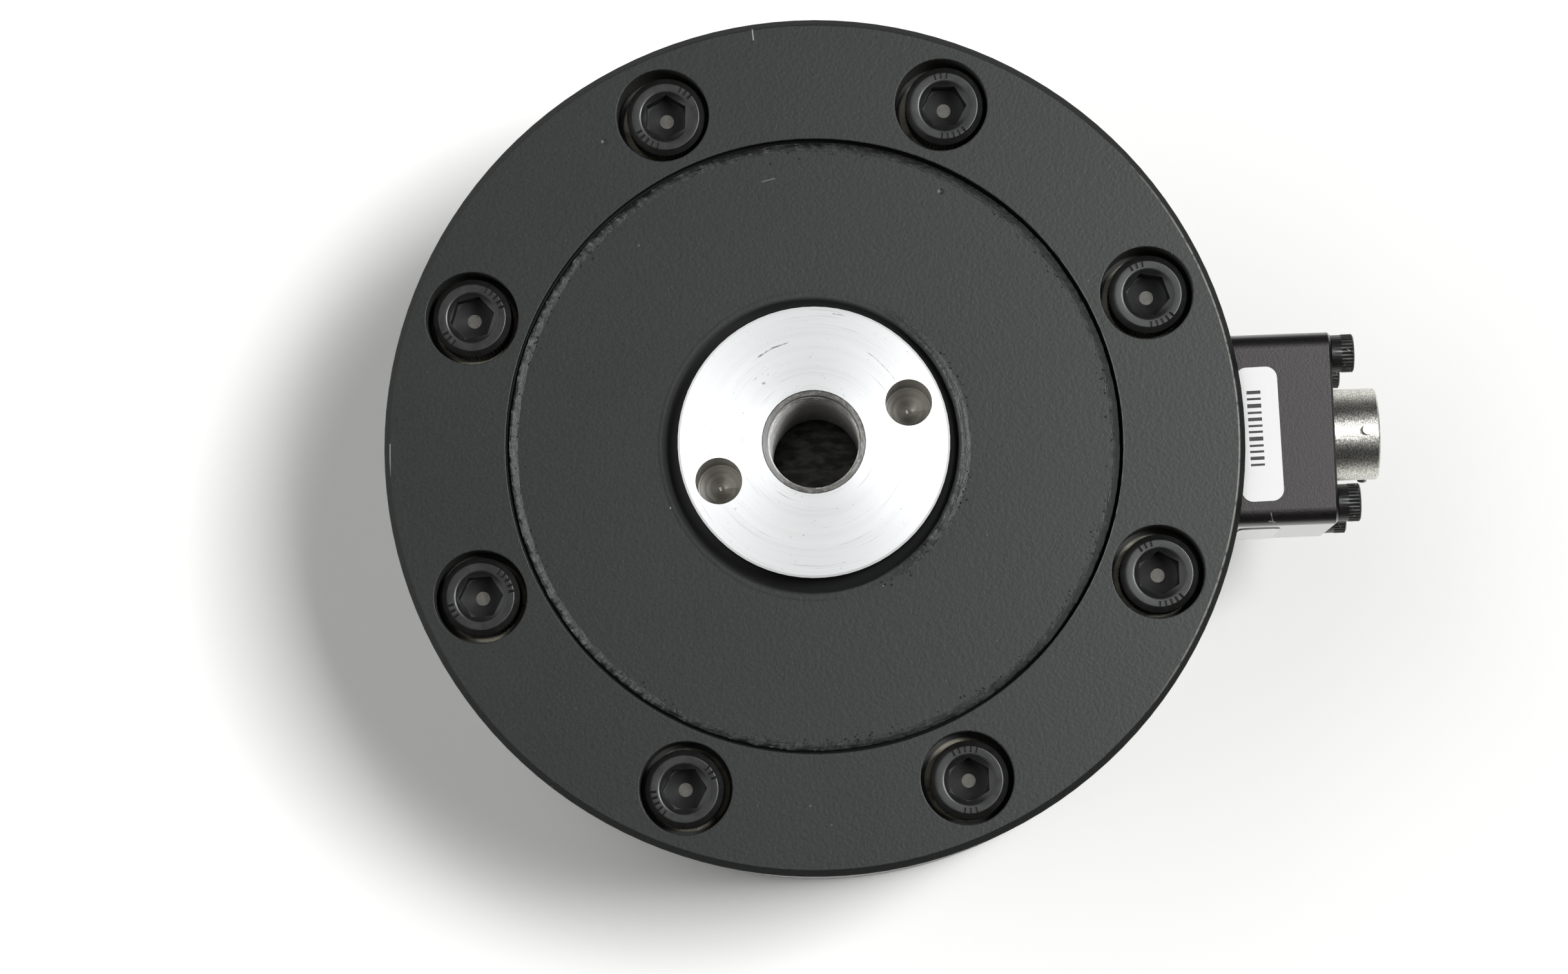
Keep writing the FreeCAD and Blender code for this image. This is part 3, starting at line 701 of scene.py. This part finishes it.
def seal_bead(name, node, wall, side, shape, reach, seed, loose_crumbs, material):
    """Hand-laid bead along a round wall: a crevice beside it and a ridge that slopes to the cover.

    side is 1 where the cover lies outside the wall and -1 where it lies inside, and reach is the
    bead's whole width.
    """
    toe_level = -0.004 * MM
    rings = [[] for _ in range(len(CREVICE) + len(RISE) + len(FALL) + 1)]
    for i in range(BEAD_STEPS):
        turn = TURN * i / BEAD_STEPS
        gap, depth, ridge, crest, fall = shape(turn)
        across = [(share, -sink, False) for share, sink in CREVICE]
        across += [(crest * share, rise, True) for share, rise in RISE]
        across += [(crest + (1 - crest) * share, rise, True) for share, rise in fall]
        here = round_point(wall, turn, seed * 40 * MM)
        swell = noise.noise(here / (6 * MM))
        section = []
        for share, level, on_ridge in across:
            run = gap + (reach - gap) * share if on_ridge else gap * share
            up = level * (ridge if on_ridge else depth)
            loose = max(0.0, min(1.0, (run - 0.85 * gap) / (0.2 * gap)))
            loose *= 1 - share if on_ridge else 1
            lump = noise.fractal((here + Vector((0, 0, run))) / (1.3 * MM), 0.8, 2.0, 3)
            run += loose * (0.08 * MM * swell + 0.06 * MM * lump)
            up += loose * (max(0.0, up) * 0.3 * swell + 0.3 * ridge * lump)
            section.append((run, up))
        section.append((reach, toe_level))
        for ring, (run, up) in zip(rings, section):
            ring.append(round_point(wall + side * run, turn, COVER_TOP + up))
    if side > 0:
        rings.reverse()
    points, faces = skin(rings)
    more_points, more_faces = crumbs(wall + side * reach, side, seed, loose_crumbs)
    faces += [tuple(i + len(points) for i in face) for face in more_faces]
    piece = add_piece(name, points + more_points, faces, material, crease=80.0)
    return place_piece(piece, "sealant", node)


# Cap screws

def hex_radius(turn, flats):
    """Distance from a hexagon's centre to its outline; a corner lies at turn 0."""
    sixth = TURN / 6
    return flats / 2 / math.cos((turn % sixth) - sixth / 2)


def cap_screw_rings(
        teeth, head_radius, head_height, collar, edge, shank, length, flats, depth, mouth, drill):
    """Rings of a cap screw from its tip up over its head and down into its hex socket.

    collar is the height of the smooth part under the knurl, edge the width of the head's round
    edge, mouth the radius of the cone at the socket's entry, and drill that of the flat which the
    drill left at its bottom.
    """
    per_tooth = 4
    count = teeth * per_tooth
    tooth_depth = 0.035 * head_radius
    entry_slope = 0.5
    drill_slope = 0.6
    drop = 0.7 * edge
    bevel = (
        (0.0, 1.15), (0.0, 1.0), (0.05, 0.92), (0.14, 0.82), (0.86, 0.1), (0.93, 0.03), (1.0, 0.0),
        (1.12, 0.0),
    )
    lip = (
        (0.05, 0.0), (0.04, 0.0008), (0.03, 0.0027), (0.017, 0.006), (0.006, 0.01), (0.0, 0.016),
    )

    def circle(radius, z):
        return [(radius, z)] * count

    def knurl(z, share):
        wave = (0.0, 0.75, 1.0, 0.75)
        return [(head_radius - share * tooth_depth * wave[i % per_tooth], z) for i in range(count)]

    outline = [hex_radius(TURN * i / count, flats) for i in range(count)]
    smooth = head_radius - 0.6 * tooth_depth
    floor = head_height - depth
    drill_floor = floor - (flats / 2 - drill) * drill_slope
    rings = [
        circle(0.7 * shank, -length), circle(shank, 0.3 * shank - length), circle(shank, 0.0),
        circle(smooth - edge / 2, 0.0), circle(smooth, edge / 2), circle(smooth, collar),
        knurl(collar + edge / 3, 1.0), knurl(head_height - 1.5 * drop, 1.0),
    ]
    for run, sink in bevel:
        rings.append(circle(head_radius - edge * run, head_height - drop * sink))
    for run, sink in lip:
        rings.append(circle(mouth + run * head_radius, head_height - sink * head_radius))
    entry = head_height - lip[-1][1] * head_radius
    rings += [
        [(r, entry - (mouth - r) * entry_slope) for r in outline],
        [(r, floor) for r in outline],
        circle(flats / 2, floor), circle(drill, drill_floor), circle(0.3 * drill, drill_floor),
    ]
    return [
        [round_point(r, TURN * i / count, z) for i, (r, z) in enumerate(ring)] for ring in rings
    ]


def raised_ticks(count, start, step, radius, length, width, height, level):
    """Small plain ticks in a ring on a screw's head, each a low ridge that points outwards."""
    points = []
    faces = []
    for i in range(count):
        turn = math.radians(start + step * i)
        out = round_point(1.0, turn)
        side = Vector((-math.sin(turn), math.cos(turn), 0)) * width / 2
        inner = out * (radius - length / 2) + Vector((0, 0, level))
        outer = out * (radius + length / 2) + Vector((0, 0, level))
        crest = Vector((0, 0, height))
        first = len(points)
        points += [inner - side, inner + side, outer + side, outer - side]
        points += [inner + out * width / 2 + crest, outer - out * width / 2 + crest]
        faces += [(first, first + 4, first + 1), (first + 1, first + 4, first + 5, first + 2)]
        faces += [(first + 2, first + 5, first + 3), (first + 3, first + 5, first + 4, first)]
    return points, faces


def add_screw(name, rings, ticks, matrix, material, drilled, slot):
    """Cap screw from its rings, with another material on the drill's flat in its socket."""
    points, faces = skin(rings, close_first=True, close_last=True)
    count = len(rings[0])
    flat = set(range((len(rings) - 2) * count, (len(rings) - 1) * count)) | {len(faces) - 1}
    for more_points, more_faces in ticks:
        shift = len(points)
        points = points + more_points
        faces = faces + [tuple(i + shift for i in face) for face in more_faces]
    piece = add_piece(name, [matrix @ p for p in points], faces, material, crease=25.0)
    piece.data.materials.append(drilled)
    for i in flat:
        piece.data.polygons[i].material_index = 1
    return place_piece(piece, slot)


def rim_screws(material, drilled):
    """Eight quarter-inch cap screws, each turned as it was tightened."""
    head_height = 6.35 * MM
    head_floor = RIM_SCREW_TOP - head_height
    rings = cap_screw_rings(
        teeth=60, head_radius=4.76 * MM, head_height=head_height, collar=0.8 * MM, edge=0.72 * MM,
        shank=3.17 * MM, length=head_floor - RIM_SCREW_FOOT, flats=4.76 * MM, depth=3.1 * MM,
        mouth=3.02 * MM, drill=0.85 * MM)
    count = len(RIM_SOCKET_TURNS)
    tick_step = 11
    tick_size = dict(
        radius=3.75 * MM, length=0.75 * MM, width=0.3 * MM, height=0.1 * MM, level=head_height)
    for i, turn in enumerate(RIM_SOCKET_TURNS):
        place = round_point(RIM_SCREW_CIRCLE, TURN * (i + 0.5) / count, head_floor)
        place += Vector(RIM_HEAD_SHIFTS[i] + (0.0,)) * MM
        matrix = Matrix.Translation(place) @ Matrix.Rotation(math.radians(turn), 4, "Z")
        short, long = RIM_TICK_TURNS[i]
        ticks = [
            raised_ticks(3, short - turn - tick_step, tick_step, **tick_size),
            raised_ticks(5, long - turn - 2 * tick_step, tick_step, **tick_size),
        ]
        name = f"rim_screw_{i + 1}"
        piece = add_screw(name, rings, ticks, matrix, material, drilled, "black_screw")
        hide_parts("rim_screws")


def block_screws(material, drilled):
    """Four small cap screws in the connector block's corners."""
    head_radius = 2.325 * MM
    rings = cap_screw_rings(
        teeth=36, head_radius=head_radius, head_height=BLOCK_SCREW_TIP - BLOCK_FRONT,
        collar=1.3 * MM, edge=0.22 * MM, shank=1.42 * MM, length=BLOCK_FRONT - BLOCK_SCREW_FOOT,
        flats=2.38 * MM, depth=1.4 * MM, mouth=1.6 * MM, drill=0.45 * MM)
    low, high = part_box("block_screws")
    turns = (12, 40, 25, 5)
    sides = (low.y + head_radius, high.y - head_radius)
    levels = (low.z + head_radius, high.z - head_radius)
    spots = [(y, z) for y in sides for z in levels]
    for i, (y, z) in enumerate(spots):
        matrix = Matrix.Translation((BLOCK_FRONT, y, z)) @ Matrix.Rotation(TURN / 4, 4, "Y")
        matrix = matrix @ Matrix.Rotation(math.radians(turns[i]), 4, "Z")
        name = f"block_screw_{i + 1}"
        piece = add_screw(name, rings, [], matrix, material, drilled, "black_screw")
        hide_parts("block_screws")


# Threads

def thread(name, radius, low, high, material):
    """Thread crests inside a round hole, as one ridge that winds up its wall."""
    steps = 96
    sink = 0.01 * MM
    turns = int((high - low) / THREAD_PITCH)
    crest = THREAD_CREST / THREAD_PITCH / 2
    foot = crest + THREAD_DEPTH * math.tan(TURN / 12) / THREAD_PITCH
    shape = [(0.0, -foot), (1.0, -crest), (1.0, crest), (0.0, foot)]
    points = []
    faces = []
    total = turns * steps
    for i in range(total + 1):
        turn = TURN * i / steps
        fade = min(1.0, i / steps, (total - i) / steps)
        for rise, shift in shape:
            r = radius + sink - rise * THREAD_DEPTH * fade
            z = low + THREAD_PITCH * (0.5 + i / steps + shift * fade)
            points.append(round_point(r, turn, min(z, high)))
    for i in range(total):
        for j in range(len(shape) - 1):
            a = i * len(shape) + j
            faces.append((a, a + 1, a + 1 + len(shape), a + len(shape)))
    piece = add_piece(name, points, faces, material, crease=40.0)
    return place_piece(piece, "black_body")


# Label bars

def label_bars(material):
    """A row of plain printed bars across the sticker."""
    low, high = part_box("serial_label")
    centre = (low + high) / 2
    turn = Matrix.Rotation(math.radians(1.0), 4, "Z")
    widths = [0.28, 0.42, 0.28, 0.28, 0.5, 0.28, 0.28, 0.42, 0.28, 0.5, 0.28, 0.42]
    length = 9.2
    gap = (length - sum(widths)) / (len(widths) - 1)
    height = 1.7 * MM
    shift_x = -0.42 * MM
    shift_y = 0.73
    start = shift_y - length / 2
    points = []
    faces = []
    ink_top = high.z + 0.004 * MM
    ink_foot = high.z - 0.01 * MM
    for width in widths:
        x0 = shift_x - height / 2
        x1 = shift_x + height / 2
        y0 = start * MM
        y1 = (start + width) * MM
        first = len(points)
        for level in (ink_top, ink_foot):
            for x, y in ((x0, y0), (x1, y0), (x1, y1), (x0, y1)):
                points.append(Vector((centre.x, centre.y, level)) + turn @ Vector((x, y, 0)))
        faces.append((first, first + 1, first + 2, first + 3))
        for k in range(4):
            m = (k + 1) % 4
            faces.append((first + k, first + 4 + k, first + 4 + m, first + m))
        start += width + gap
    piece = add_piece("label_bars", points, faces, material)
    return place_piece(piece, "label")


# Dressing the frame's nodes

def flexure_face(centre, normal):
    """Material index of a face of the flexure body."""
    radius = math.hypot(centre.x, centre.y)
    flat = centre.xy
    to_hole = min((flat - SPANNER_PLACE.xy).length, (flat + SPANNER_PLACE.xy).length)
    on_hub = centre.z > HUB_TOP - 0.3 * MM
    if on_hub and radius > MOUTH_RADIUS and to_hole > SPANNER_RADIUS * 0.999:
        return TURNED
    if radius < MOUTH_RADIUS + 0.01 * MM:
        return BORE
    if to_hole < SPANNER_RADIUS * 1.01 and centre.z > RIM_FACE - 12 * MM:
        return DRILLED
    turn = (math.floor(math.atan2(centre.y, centre.x) / RIM_SCREW_STEP) + 0.5) * RIM_SCREW_STEP
    to_screw = (flat - round_point(RIM_SCREW_CIRCLE, turn).xy).length
    sunk = normal.z < 0.5 or centre.z < RIM_FACE - MM
    if sunk and to_screw < COUNTERBORE_RADIUS * 1.01:
        return COUNTERBORE
    return BLACK


def dress_frame():
    """Gives every node its materials; returns those that new pieces take too."""
    body_marks = [
        (spot(-51.54, 1.96, RIM_FACE), spot(-51.65, -1.97, RIM_FACE), 0.11 * MM, 0.36),
        (spot(-5.71, 51.42, RIM_FACE), spot(-5.6, 49.98, RIM_FACE), 0.1 * MM, 0.36),
    ]
    body_dents = [(spot(-24.22, 38.1, RIM_FACE), 0.4 * MM)]
    # Edges painted pale towards the connector: partly wear, partly a painted highlight of the key
    # light.
    edge_wear_and_highlights = ((BODY_RADIUS - RIM_CHAMFER, 1.0), (RECESS_RADIUS, 0.5))
    cover_marks = [
        (spot(-5.14, 32.58, COVER_TOP), spot(-3.63, 32.92, COVER_TOP), 0.12 * MM, 0.1),
    ]
    specks = ((-17.68, -6.95), (-7.59, -16.35), (-3.66, -17.91), (5.21, -17.06), (7.78, -17.32))
    for x, y in specks:
        cover_marks.append((spot(x, y, COVER_TOP), spot(x + 0.1, y, COVER_TOP), 0.18 * MM, 0.5))
    cover_dents = [(spot(16.6, 30.55, COVER_TOP), 0.4 * MM)]
    black = black_finish("black_finish", body_marks, body_dents, edge_wear_and_highlights)
    cover = black_finish("black_cover", cover_marks, cover_dents)
    bore = bore_metal()
    seal = sealant()
    rubber = mottled("gasket_rubber", (0.012, 0.012, 0.012), (0.03, 0.03, 0.03), 0.6 * MM, 0.6)
    metal = nickel()
    label = paper()
    dress(
        "flexure_body", black, turned_metal(), bore, drilled_metal(), counterbore_metal(),
        choose=flexure_face)
    dress("base", black_finish("black_base", worn_middle=7 * MM))
    dress("connector_block", dark_anodised())
    dress("strain_gauges", foil_gauge())
    shared = (
        (cover, ("top_cover", "bottom_cover")),
        (seal, ("bottom_rim_seal", "bottom_hub_seal")),
        (rubber, ("block_gasket", "shell_gasket")),
        (metal, ("connector_shell", "connector_nut")),
        (label, ("serial_label", "side_label")),
    )
    for material, named in shared:
        for node in named:
            dress(node, material)
    # Node, material, its two colours, the mottle's size in millimetres, roughness, and 1 for metal
    plain = (
        ("connector_insert", "insulator", (0.02, 0.02, 0.022), (0.045, 0.045, 0.05), 0.8, 0.45),
        ("contact_pins", "gold_contact", (0.75, 0.52, 0.2), (0.9, 0.66, 0.3), 0.5, 0.25, 1.0),
        ("lead_wires", "wire_sleeve", (0.55, 0.05, 0.04), (0.7, 0.09, 0.07), 0.8, 0.4),
        ("bridge_board", "board_green", (0.02, 0.11, 0.05), (0.04, 0.17, 0.08), 0.7, 0.4),
        ("trim_resistors", "resistor_body", (0.02, 0.02, 0.025), (0.06, 0.06, 0.065), 0.4, 0.5),
        ("gauge_harness", "harness_sleeve", (0.5, 0.32, 0.05), (0.65, 0.45, 0.1), 0.6, 0.4),
    )
    for node, name, first, second, size, *gloss in plain:
        dress(node, mottled(name, first, second, size * MM, *gloss))
    return bore, seal


# Stage: table, light and camera

def add_stage():
    """Round table top, a hair below the part."""
    floor_radius = 4.0
    count = 96
    level = cad_low.z - 0.02 * MM
    rim = [round_point(floor_radius, TURN * i / count, level) for i in range(count)]
    floor = add_piece("table_top", rim, [tuple(range(count))], pale_floor())


def area_light(name, zenith, azimuth, distance, width, depth, radiance):
    """Softbox that looks at the object from a direction, with a given brightness of its face."""
    tilt = math.radians(zenith)
    turn = math.radians(azimuth)
    direction = round_point(math.sin(tilt), turn, math.cos(tilt))
    light = bpy.data.lights.new(name, "AREA")
    light.shape = "RECTANGLE"
    light.size = width
    light.size_y = depth
    light.energy = radiance * math.pi * width * depth
    lamp = bpy.data.objects.new(name, light)
    across = Vector((-math.sin(turn), math.cos(turn), 0))
    along = across.cross(direction)
    turned = Matrix((along, across, direction)).transposed().to_4x4()
    lamp.matrix_world = Matrix.Translation(direction * distance) @ turned
    lamp.visible_camera = False
    bpy.context.scene.collection.objects.link(lamp)


def add_world():
    """Dim studio, a little paler towards the horizon."""
    world = bpy.data.worlds.new("studio")
    world.use_nodes = True
    tree = world.node_tree
    place = tree.nodes.new("ShaderNodeTexCoord")
    split = tree.nodes.new("ShaderNodeSeparateXYZ")
    ramp = tree.nodes.new("ShaderNodeValToRGB")
    tree.links.new(place.outputs["Generated"], split.inputs[0])
    tree.links.new(split.outputs["Z"], ramp.inputs[0])
    for element, (height, level) in zip(ramp.color_ramp.elements, ((0.05, 0.06), (0.55, 0.03))):
        element.position = height
        element.color = grey(level)
    tree.links.new(ramp.outputs[0], tree.nodes["Background"].inputs["Color"])
    bpy.context.scene.world = world


def add_camera():
    """Camera at the photograph's place and angle."""
    camera = bpy.data.cameras.new("camera")
    camera.lens = CAMERA_LENS
    camera.sensor_width = CAMERA_SENSOR
    camera.sensor_fit = "HORIZONTAL"
    camera.clip_start = 0.01
    camera.clip_end = 20.0
    holder = bpy.data.objects.new("camera", camera)
    turned = Matrix((CAMERA_RIGHT, CAMERA_UP, CAMERA_BACK)).transposed().to_4x4()
    holder.matrix_world = Matrix.Translation(CAMERA_PLACE) @ turned
    bpy.context.scene.collection.objects.link(holder)
    bpy.context.scene.camera = holder


# Making

bore_material, seal_material = dress_frame()
seal_bead(
    "rim_bead", "top_rim_seal", wall=RECESS_RADIUS, side=-1, shape=rim_bead_shape,
    reach=1.5 * MM, seed=1, loose_crumbs=200, material=seal_material)
seal_bead(
    "hub_bead", "top_hub_seal", wall=HUB_RADIUS, side=1, shape=hub_bead_shape,
    reach=HUB_SEAL_OUTER - HUB_RADIUS, seed=2, loose_crumbs=40, material=seal_material)
drill_flat = mottled("drilled_oxide", (0.07, 0.066, 0.055), (0.16, 0.15, 0.13), 0.5 * MM, 0.4)
rim_screws(black_oxide("rim_screw_oxide", dull_below=RIM_SCREW_TOP - MM), drill_flat)
block_oxide = black_oxide(
    "block_screw_oxide", dull_below=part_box("block_screws")[0].z - MM, worn_end=BLOCK_SCREW_TIP)
block_screws(block_oxide, drill_flat)
thread_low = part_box("flexure_body")[0].z + MM
thread_high = HUB_TOP - 0.7 * MM
thread("hub_thread", BORE_RADIUS, thread_low, thread_high, bore_material)
label_bars(mottled("label_ink", (0.012, 0.012, 0.012), (0.03, 0.03, 0.03), 0.3 * MM, 0.5))
add_stage()
area_light(
    "key_softbox", zenith=24.5, azimuth=14, distance=4.0, width=1.2, depth=1.1, radiance=29.0)
area_light(
    "fill_card", zenith=48, azimuth=168, distance=2.5, width=3.0, depth=3.5, radiance=1.12)
add_world()
add_camera()
bpy.context.scene.view_settings.view_transform = "Standard"
